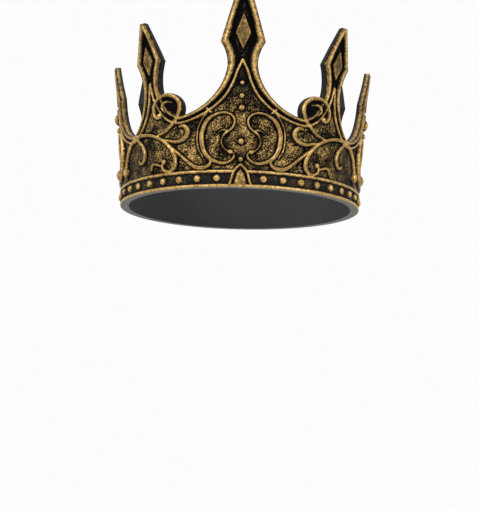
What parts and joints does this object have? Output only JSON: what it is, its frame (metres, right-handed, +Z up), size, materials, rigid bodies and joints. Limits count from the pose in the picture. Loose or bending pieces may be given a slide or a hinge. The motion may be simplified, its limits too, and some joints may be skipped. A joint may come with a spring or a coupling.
{
  "type": "moulded costume crown",
  "caption": "One-piece moulded costume crown: oval studded band, tall leaning spikes with raised rims and lozenges, and scroll relief all round, finished in antique gold.",
  "frame": {"origin": "centre of the oval band on the plane that it stands on", "axes": "+Z up, the front spike on the -Y side, +X to the right of a viewer in front"},
  "size_m": [0.195, 0.2312, 0.145],
  "materials": {
    "antique_gold": "black wash with gold dry brushed on the raised parts, satin"
  },
  "bodies": {
    "root": {"crown": "antique_gold"}
  },
  "joints": []
}
